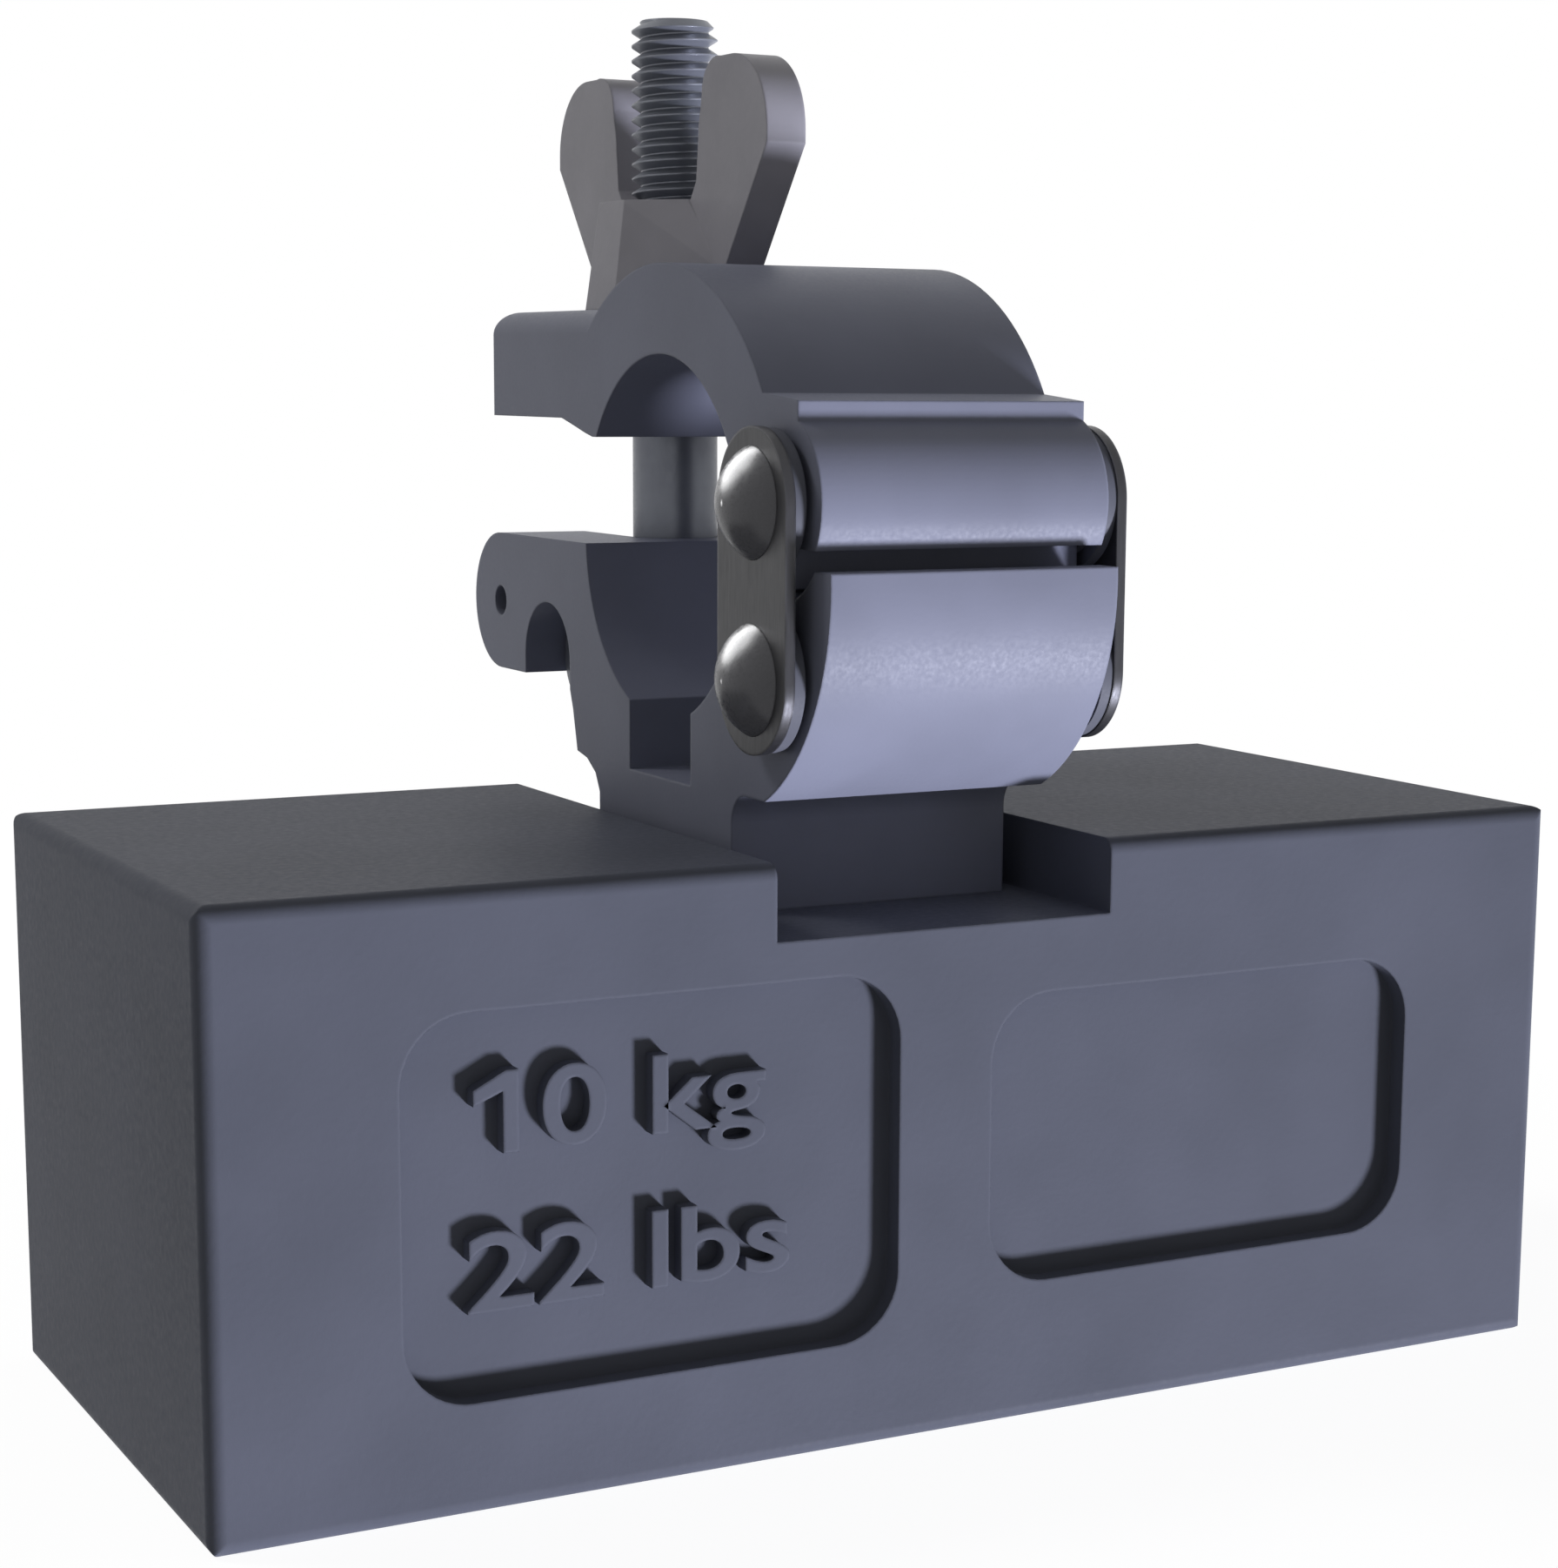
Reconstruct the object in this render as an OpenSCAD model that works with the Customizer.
// Ballast weight: a cast iron bar with a half coupler bolted into a notch in its top.
// Millimetres. The origin is on the centre line of the tube that the coupler grips, half way
// across the coupler. X runs along the tube and the bar, Y to the swing bolt, Z up.

/* [Bar] */
// Length of the bar
bar_l = 200; // [160:1:320]
// Width of the bar, front to back
bar_w = 87.5; // [76:0.5:120]
// Height of the bar
bar_h = 78.7; // [66:0.1:110]
// Rounding of the bar's edges
bar_edge_r = 2; // [0.5:0.1:4]
// Width of the notch in the top
notch_w = 50; // [44:0.5:60]
// Depth of the notch
notch_d = 10; // [4:0.5:16]

/* [Recessed panels] */
// Length of each recessed panel
panel_w = 68.5; // [40:0.5:74]
// Height of the taller panel
panel_tall_h = 49; // [30:0.5:56]
// Height of the lower panel
panel_low_h = 39.6; // [24:0.2:50]
// Depth of the panels
panel_d = 3; // [1:0.5:7]
// Corner radius of the panels
panel_r = 9; // [2:0.5:11]
// Metal left between the two panels
panel_gap = 14; // [8:0.5:30]
// Height of the panels' centre line
panel_z = 39; // [34:0.5:46]

/* [Coupler] */
// Diameter of the tube that the coupler grips
tube_d = 50; // [48:0.1:51]
// Height of the tube's centre over the bar's top
tube_rise = 38.4; // [37:0.1:44]
// Width of the two castings along the tube
cast_w = 42; // [36:0.5:46]
// Wall of the upper jaw round the tube
jaw_wall = 12.1; // [8:0.1:14]
// Lowest point of the jaw's lug over the tube's centre
jaw_lug_low = 15.9; // [14:0.1:18]
// Top of the jaw's lug over the tube's centre
jaw_lug_top = 31.3; // [28:0.1:33]
// Reach of the jaw's lug past the bolt
jaw_lug_reach = 20; // [14:0.5:21]
// Rounding of the lug's upper edges
lug_edge_r = 3.4; // [1:0.1:4]
// Radius of the jaw's knuckle
knuckle_r = 11.4; // [9:0.1:13]
// Gap between the knuckle and the hollow that it turns in
knuckle_gap = 1.3; // [0.9:0.1:1.6]
// Radius of the lower casting's rounded front
front_r = 31.8; // [30:0.1:33]
// Reach of the foot to the front of the tube's centre line
foot_front = 22.5; // [17:0.1:23]
// Reach of the foot to the back of it
foot_back = 20.5; // [17:0.1:22]
// Top of the lower casting below the tube's centre
seam_drop = 1.8; // [1.2:0.1:3]
// Radius of the lower casting's lug end
base_lug_r = 10.3; // [9:0.1:10.5]
// Reach of the lower casting's lug past the swing bolt, to the end's centre
base_lug_reach = 18.1; // [16:0.1:20]

/* [Side links] */
// Spacing of the two rivet pins
link_pitch = 22.3; // [21:0.1:24]
// Upper pin over the tube's centre
upper_pin_rise = 6.4; // [5:0.1:7]
// Distance from the tube's centre line to the pins
pin_back = 36; // [35.5:0.1:37.5]
// Radius of the links' ends
link_end_r = 9.6; // [8.5:0.1:10]
// Thickness of a link
link_t = 1.4; // [1:0.1:3]
// Thickness of the shouldered bush between a link and the casting
spacer_t = 2.5; // [1:0.1:3]
// Radius of the bush's shoulder, which bears on the link
spacer_r = 9.4; // [8:0.1:10]
// Thickness of that shoulder
shoulder_t = 1.6; // [0.8:0.1:2]
// Radius of the bush's neck, which bears on the casting
neck_r = 7.5; // [6:0.1:9]
// Diameter of the rivet pins
pin_d = 8; // [6:0.1:9]
// Radius of a rivet's domed head
rivet_head_r = 7.2; // [7:0.1:9]
// Height of a rivet's domed head
rivet_head_h = 4.2; // [1.5:0.1:5]

/* [Swing bolt and wing nut] */
// Diameter of the swing bolt
bolt_d = 12.7; // [10:0.1:13]
// Distance from the tube's centre line to the swing bolt
bolt_y = 39.5; // [39:0.1:41]
// Swing axis below the tube's centre
bolt_drop = 19.6; // [18.5:0.1:20.5]
// Length of the swing bolt over its axis
bolt_len = 93; // [88:0.5:110]
// Radius of the barrel at the foot of the swing bolt
barrel_r = 8.1; // [7:0.1:9]
// Length of that barrel
barrel_len = 30; // [22:0.5:34]
// Width of the forks that the bolt swings in
fork_w = 14; // [13.4:0.1:15]
// Height of the wing nut's hub
hub_h = 15.8; // [12:0.1:20]
// Half width of the hub at its top
hub_top = 10.2; // [9:0.1:12]
// Half width of the hub at its base
hub_base = 12.3; // [11:0.1:13]
// Thickness of the wings
wing_t = 6; // [4:0.1:8]
// Radius of a wing's round lobe
lobe_r = 10.9; // [9:0.1:13]
// Distance from the bolt to a lobe's centre
lobe_out = 25.2; // [22:0.1:28]
// Height of a lobe's centre over the nut's base
lobe_up = 24.2; // [21:0.1:28]

// Diameter of the washer under the wing nut
nut_washer_d = 28.6; // [24:0.1:30]
// Thickness of that washer
nut_washer_t = 1.5; // [1:0.1:2.5]
// Depth of the washer's seat in the top of the jaw's lug
seat_d = 1.6; // [1:0.1:2.5]

/* [Fixings] */
// Diameter of the bolt through the foot
stud_d = 12; // [10:1:12]
// How far that bolt stands out of its nut
stud_tail = 1.1; // [0.5:0.1:5]
// Width of its head and nut across the flats
stud_af = 19; // [16:0.5:19]
// Height of its head
stud_head_h = 7.5; // [6:0.1:7.6]
// Height of its nut
stud_nut_h = 12; // [9:0.5:13]
// Diameter of the washer under that nut
washer_d = 24; // [20:0.5:28]
// Thickness of that washer
washer_t = 2.5; // [1.5:0.1:3.5]
// Diameter of the pocket in the bar's underside
sink_d = 30; // [29:0.5:36]
// Depth of that pocket
sink_h = 20; // [18:0.5:24]
// Diameter of the roll pin across the lower lug
roll_d = 4.5; // [3:0.1:5]
// Wall of the roll pin
roll_wall = 0.9; // [0.5:0.1:1.2]

/* [Fits] */
// Radial clearance of pins that turn
pin_fit = 0.05; // [0.02:0.01:0.1]
// Radial clearance of the nut's thread on the bolt
thread_fit = 0.05; // [0.02:0.01:0.1]
// Radial clearance of the barrel in its groove
barrel_fit = 0.3; // [0.1:0.05:0.5]
// Radial clearance of the bolt through the foot and the bar
stud_fit = 0.5; // [0.2:0.1:1]
// Side clearance of that bolt's head in its slot
head_fit = 0.4; // [0.2:0.1:0.8]
// Gap between a spacer and the casting beside it
side_gap = 0.1; // [0.05:0.05:0.3]
// Gap under the wing nut's washer
nut_gap = 0.2; // [0.1:0.05:0.4]
// Gap between the wing nut and its washer
face_gap = 0.1; // [0.05:0.05:0.3]
// Clearance round that washer in its seat
seat_fit = 0.5; // [0.3:0.1:0.6]

/* [Hidden] */
$fn = 64;

big = 400;
tube_r = tube_d / 2;
bar_top = -tube_rise;
bar_low = bar_top - bar_h;
floor_z = bar_top - notch_d;
half_w = cast_w / 2;
pin_r = pin_d / 2;
bolt_r = bolt_d / 2;
stud_r = stud_d / 2;
upper_pin_z = upper_pin_rise;
lower_pin_z = upper_pin_z - link_pitch;
plate_x = half_w + side_gap + spacer_t;
jaw_r = tube_r + jaw_wall;
lug_low_z = jaw_lug_low;
lug_top_z = jaw_lug_top;
lug_end_y = bolt_y + jaw_lug_reach;
jaw_tip_z = lug_low_z - 2.5;
flange_y = pin_back + 5;
flange_top_z = upper_pin_z + 13.6;
seam_z = -seam_drop;
seam_gap = 2.6;
seat_r = knuckle_r + knuckle_gap;
front_y = front_r - pin_back + 22.4;
front_z = -3.6;
pivot_z = -bolt_drop;
groove_r = barrel_r + barrel_fit;
lug_under_z = pivot_z - 2.8;
under_z = floor_z + 16.2;
foot_fillet = 4;
bolt_end_z = pivot_z + bolt_len;
seat_z = lug_top_z - seat_d;
nut_washer_z = seat_z + nut_gap;
nut_z = nut_washer_z + nut_washer_t + face_gap;
seat_half = nut_washer_d / 2 + seat_fit;
head_floor_z = under_z - 0.5;
slot_w = stud_af + 2 * head_fit;
end_y = bolt_y + base_lug_reach;
end_z = pivot_z + 7.5;
roll_r = roll_d / 2;
washer_z = bar_low + sink_h - washer_t;
ring_h = 3;
ring_z = washer_z - stud_nut_h;
ring_r = stud_r + 1.6;
stud_len = head_floor_z - ring_z + stud_tail;

// A flat outline drawn as across and up, stood in the plane of Y and Z and
// given a thickness along X about the middle.
module along_x(w) {
    rotate([90, 0, 90])
        translate([0, 0, -w / 2])
            linear_extrude(w) children();
}

module round_rect(w, h, r) {
    translate([-w / 2 + r, -h / 2]) square([w - 2 * r, h]);
    translate([-w / 2, -h / 2 + r]) square([w, h - 2 * r]);
    for (x = [-1, 1], y = [-1, 1])
        translate([x * (w / 2 - r), y * (h / 2 - r)]) circle(r);
}

module rod_x(r, w) {
    rotate([0, 90, 0]) cylinder(h = w, r = r, center = true);
}

module hex_z(af, h) {
    cylinder(h = h, r = af / sqrt(3), $fn = 6);
}

// The bar

module bar_solid() {
    intersection() {
        translate([0, 0, bar_low + bar_h / 2])
            along_x(bar_l) round_rect(bar_w, bar_h, bar_edge_r);
        translate([0, bar_w / 2, bar_low + bar_h / 2])
            rotate([90, 0, 0])
                linear_extrude(bar_w) round_rect(bar_l, bar_h, bar_edge_r);
        translate([0, 0, bar_low])
            linear_extrude(bar_h) round_rect(bar_l, bar_w, bar_edge_r);
    }
}

module panel(h, side) {
    translate([side * (panel_gap + panel_w) / 2, -bar_w / 2 + panel_d, bar_low + panel_z])
        rotate([90, 0, 0])
            linear_extrude(panel_d + 1) round_rect(panel_w, h, panel_r);
}

module panel_pair() {
    panel(panel_tall_h, -1);
    panel(panel_low_h, 1);
}

module block() {
    color("#62656f")
    difference() {
        bar_solid();
        translate([-notch_w / 2, -big / 2, floor_z]) cube([notch_w, big, big]);
        panel_pair();
        rotate([0, 0, 180]) panel_pair();
        translate([0, 0, bar_low - 1]) cylinder(h = bar_h, r = stud_r + stud_fit);
        translate([0, 0, bar_low - 1]) cylinder(h = sink_h + 1, d = sink_d);
    }
}

// The lower casting

module base_outline() {
    difference() {
        union() {
            translate([-foot_front, floor_z])
                square([foot_front + foot_back, under_z - floor_z + 1]);
            difference() {
                translate([-foot_front - foot_fillet, under_z - foot_fillet])
                    square([foot_fillet, foot_fillet + 1]);
                translate([-foot_front - foot_fillet, under_z - foot_fillet])
                    circle(foot_fillet);
            }
            intersection() {
                translate([-front_y, front_z]) circle(front_r);
                translate([-big, under_z]) square([big, seam_z - under_z]);
            }
            polygon([[-10, under_z], [foot_back - 3, under_z - 5],
                [foot_back, under_z - 5], [foot_back + 1.5, under_z - 2.4],
                [foot_back + 4.5, under_z - 0.6], [foot_back + 8, under_z + 0.1],
                [foot_back + 9.5, under_z + 6], [foot_back + 11, lug_under_z],
                [end_y, lug_under_z], [end_y, seam_z], [-10, seam_z]]);
            translate([end_y, end_z]) circle(base_lug_r);
        }
        circle(tube_r);
        translate([-pin_back, upper_pin_z]) circle(seat_r);
        translate([-tube_r - 2, seam_z - 2.8]) square([tube_r, 10]);
        translate([bolt_y, pivot_z]) circle(groove_r);
        translate([bolt_y - groove_r, pivot_z - 20]) square([2 * groove_r, 20]);
    }
}

module base_body() {
    color("#5f616b")
    difference() {
        along_x(cast_w) base_outline();
        translate([-big / 2, -slot_w / 2, head_floor_z]) cube([big, slot_w, 30]);
        translate([0, 0, floor_z - 1]) cylinder(h = 30, r = stud_r + stud_fit);
        translate([0, -pin_back, lower_pin_z]) rod_x(pin_r + pin_fit, cast_w + 2);
        translate([0, end_y, end_z]) rod_x(roll_r, cast_w + 2);
        translate([0, bolt_y, pivot_z - 20]) cylinder(h = 60, r = fork_w / 2);
        translate([-fork_w / 2, bolt_y, pivot_z - 20]) cube([fork_w, 60, 60]);
    }
}

// The upper jaw

module jaw_outline() {
    difference() {
        union() {
            intersection() {
                circle(jaw_r);
                union() {
                    translate([-flange_y, 0]) square([flange_y, big]);
                    translate([-1, jaw_tip_z]) square([big, big]);
                }
            }
            translate([-flange_y, upper_pin_z]) square([flange_y - tube_r + 4, 9]);
            polygon([[-flange_y, upper_pin_z + 5], [-flange_y, flange_top_z - 0.8],
                [-flange_y + 9.5, flange_top_z], [-tube_r, flange_top_z],
                [-tube_r, upper_pin_z + 5]]);
            translate([-pin_back, upper_pin_z]) circle(knuckle_r);
        }
        circle(tube_r);
        translate([-big, seam_z - 30]) square([big - pin_back - 4, 30 + seam_gap]);
        translate([-tube_r - 0.6, -big]) square([tube_r, big + 0.2]);
        polygon([[-1, lug_low_z - 4], [22.5, jaw_tip_z], [25, jaw_tip_z + 0.5],
            [30, lug_low_z - 0.8], [33.5, lug_low_z], [big, lug_low_z],
            [big, -5], [-1, -5]]);
    }
}

module lug_outline() {
    r = lug_edge_r;
    y0 = tube_r - 5;
    difference() {
        union() {
            translate([y0, lug_low_z]) square([lug_end_y - y0, lug_top_z - r - lug_low_z]);
            translate([y0, lug_top_z - r]) square([lug_end_y - y0 - r, r]);
            translate([lug_end_y - r, lug_top_z - r]) circle(r);
        }
        circle(tube_r + 2);
    }
}

// Its upper edges are rounded along both sides as well as at the end.
module jaw_lug() {
    intersection() {
        along_x(cast_w) lug_outline();
        translate([0, lug_end_y + 1, lug_top_z - big / 2])
            rotate([90, 0, 0])
                linear_extrude(big) round_rect(cast_w, big, lug_edge_r);
    }
}

// The washer's seat is flat up to the bolt and then falls away round the swing
// axis, so that the bolt can tip outwards.
module washer_seat() {
    seat_swing_r = seat_z - pivot_z;
    along_x(2 * seat_half)
        difference() {
            translate([bolt_y - seat_half, 0]) square([60, 60]);
            translate([bolt_y, pivot_z]) circle(seat_swing_r);
            translate([0, pivot_z]) square([bolt_y, seat_swing_r]);
        }
}

module jaw() {
    color("#5f616b")
    difference() {
        union() {
            along_x(cast_w) jaw_outline();
            jaw_lug();
        }
        washer_seat();
        translate([0, -pin_back, upper_pin_z]) rod_x(pin_r + pin_fit, cast_w + 2);
        translate([0, bolt_y, jaw_tip_z - 5]) cylinder(h = 60, r = fork_w / 2);
        translate([-fork_w / 2, bolt_y, jaw_tip_z - 5]) cube([fork_w, 60, 60]);
    }
}

// The two side links, their rivet pins and the spacers

module link_plate(side) {
    color("#4a4a4c")
    translate([side * (plate_x + link_t / 2), 0, 0])
    difference() {
        along_x(link_t)
            union() {
                for (z = [lower_pin_z, upper_pin_z])
                    translate([-pin_back, z]) circle(link_end_r);
                translate([-pin_back - link_end_r, lower_pin_z])
                    square([2 * link_end_r, link_pitch]);
            }
        for (z = [lower_pin_z, upper_pin_z])
            translate([0, -pin_back, z]) rod_x(pin_r + pin_fit, link_t + 2);
    }
}

module link_left() { link_plate(-1); }

module link_right() { link_plate(1); }

module spacer(side, z) {
    neck_t = spacer_t - shoulder_t;
    color("#8d8f99")
    translate([0, -pin_back, z])
    difference() {
        union() {
            translate([side * (half_w + side_gap + neck_t / 2), 0, 0]) rod_x(neck_r, neck_t);
            translate([side * (plate_x - shoulder_t / 2), 0, 0]) rod_x(spacer_r, shoulder_t);
        }
        rod_x(pin_r + pin_fit, 2 * plate_x + 10);
    }
}

module spacer_upper_left() { spacer(-1, upper_pin_z); }

module spacer_upper_right() { spacer(1, upper_pin_z); }

module spacer_lower_left() { spacer(-1, lower_pin_z); }

module spacer_lower_right() { spacer(1, lower_pin_z); }

module rivet_head() {
    dome_r = (rivet_head_r * rivet_head_r + rivet_head_h * rivet_head_h) / (2 * rivet_head_h);
    intersection() {
        translate([0, 0, rivet_head_h - dome_r]) sphere(dome_r);
        cylinder(h = rivet_head_h, r = rivet_head_r);
    }
}

module rivet_pin(z) {
    reach = plate_x + link_t;
    color("#474747")
    translate([0, -pin_back, z]) {
        rod_x(pin_r, 2 * reach);
        translate([reach, 0, 0]) rotate([0, 90, 0]) rivet_head();
        translate([-reach, 0, 0]) rotate([0, -90, 0]) rivet_head();
    }
}

module jaw_pin() { rivet_pin(upper_pin_z); }

module base_pin() { rivet_pin(lower_pin_z); }

// The swing bolt: a rod with a barrel across its foot

module swing_bolt() {
    tip = 1.3;
    color("#50545f")
    translate([0, bolt_y, 0]) {
        translate([0, 0, pivot_z]) rod_x(barrel_r, barrel_len);
        translate([0, 0, pivot_z]) cylinder(h = bolt_len - tip, r = bolt_r);
        translate([0, 0, bolt_end_z - tip])
            cylinder(h = tip, r1 = bolt_r, r2 = bolt_r - tip);
    }
}

module wing_washer() {
    color("#8a8c90")
    translate([0, bolt_y, nut_washer_z])
    difference() {
        cylinder(h = nut_washer_t, d = nut_washer_d);
        translate([0, 0, -1]) cylinder(h = nut_washer_t + 2, r = bolt_r + stud_fit);
    }
}

// The wing nut: an eight-sided hub that tapers upwards and two ears

// A slab on end whose two faces lean in as they rise.
module leaning_slab(low, high) {
    rotate([90, 0, 0])
        translate([0, 0, -40])
            linear_extrude(80)
                polygon([[-low, 0], [low, 0], [high, hub_h], [-high, hub_h]]);
}

module hub() {
    intersection() {
        leaning_slab(hub_base, hub_top);
        rotate([0, 0, 45]) leaning_slab(hub_base, hub_top);
        rotate([0, 0, 135]) leaning_slab(hub_base, hub_top);
    }
}

// An ear is a round lobe with a squarer inner corner, cut straight below.
module ear_outline() {
    low_y = 21.8;
    low_z = 4.1;
    tip_y = lobe_out + lobe_r;
    tip_z = lobe_up - 1.8;
    difference() {
        union() {
            translate([lobe_out, lobe_up]) circle(lobe_r);
            translate([lobe_out - 4.7, lobe_up + 5.9]) circle(5.1);
            polygon([[lobe_out - 4.7, lobe_up + lobe_r], [lobe_out, lobe_up + lobe_r],
                [lobe_out, lobe_up], [lobe_out - lobe_r, lobe_up],
                [lobe_out - 9.8, lobe_up + 5.9]]);
            polygon([[lobe_out - lobe_r, lobe_up], [hub_top + 3.4, hub_h + 2.4],
                [hub_top + 1.2, hub_h - 0.5], [bolt_r + 1, hub_h - 2], [bolt_r + 1, 2],
                [low_y, low_z], [tip_y, tip_z], [tip_y, lobe_up], [lobe_out, lobe_up + 5]]);
        }
        polygon([[low_y, low_z], [low_y, low_z - 20], [tip_y + 20, low_z - 20],
            [tip_y + 20, tip_z + 20 * (tip_z - low_z) / (tip_y - low_y)], [tip_y, tip_z]]);
    }
}

// The hub flares out into each ear: its corners lean outwards and downwards.
module flare() {
    flare_low = hub_top + 10;
    side_low = hub_base + 0.9;
    side_high = hub_top + 0.9;
    intersection() {
        for (s = [0, 180])
            rotate([0, 0, s])
                along_x(30)
                    polygon([[0, hub_h], [hub_top + 1, hub_h], [20.2, 6.5], [20.2, 4.4],
                        [hub_base + 2, 1.2], [0, 1.2]]);
        leaning_slab(hub_base, hub_top);
        rotate([0, 0, 45]) leaning_slab(flare_low, hub_top);
        rotate([0, 0, 135]) leaning_slab(flare_low, hub_top);
        rotate([0, 0, 29]) leaning_slab(side_low, side_high);
        rotate([0, 0, -29]) leaning_slab(side_low, side_high);
    }
}

module wing_nut() {
    color("#77757b")
    translate([0, bolt_y, nut_z])
    difference() {
        union() {
            hub();
            flare();
            for (s = [0, 180])
                rotate([0, 0, s]) along_x(wing_t) ear_outline();
        }
        translate([0, 0, -1]) cylinder(h = hub_h + 30, r = bolt_r + thread_fit);
    }
}

// The roll pin that keeps the swing bolt in its fork

module stop_pin() {
    color("#3a3a3c")
    translate([0, end_y, end_z])
    difference() {
        rod_x(roll_r - 0.02, cast_w - 4);
        rod_x(roll_r - roll_wall, cast_w);
        translate([-cast_w / 2, -0.3, 0]) cube([cast_w, 0.6, roll_d]);
    }
}

// The bolt that holds the coupler down, with its washer and locking nut

module mounting_bolt() {
    color("#8a8c90")
    translate([0, 0, head_floor_z]) {
        hex_z(stud_af, stud_head_h);
        translate([0, 0, -stud_len]) cylinder(h = stud_len, r = stud_r);
    }
}

module mounting_washer() {
    color("#8a8c90")
    translate([0, 0, washer_z])
    difference() {
        cylinder(h = washer_t, d = washer_d);
        translate([0, 0, -1]) cylinder(h = washer_t + 2, r = stud_r + stud_fit);
    }
}

module mounting_nut() {
    color("#8a8c90")
    translate([0, 0, ring_z])
    difference() {
        union() {
            translate([0, 0, ring_h]) hex_z(stud_af, stud_nut_h - ring_h);
            cylinder(h = ring_h, r = stud_af / 2 - 0.4);
        }
        translate([0, 0, -1]) cylinder(h = stud_nut_h + 2, r = stud_r + thread_fit);
        translate([0, 0, -1]) cylinder(h = ring_h + 1, r = ring_r);
    }
}

module nut_ring() {
    color("#3b5f9a")
    translate([0, 0, ring_z + 0.4])
    difference() {
        cylinder(h = ring_h - 0.4, r = ring_r - thread_fit);
        translate([0, 0, -1]) cylinder(h = ring_h + 2, r = stud_r + thread_fit);
    }
}

block();
base_body();
jaw();
link_left();
link_right();
jaw_pin();
base_pin();
spacer_upper_left();
spacer_upper_right();
spacer_lower_left();
spacer_lower_right();
swing_bolt();
wing_washer();
wing_nut();
stop_pin();
mounting_bolt();
mounting_washer();
mounting_nut();
nut_ring();
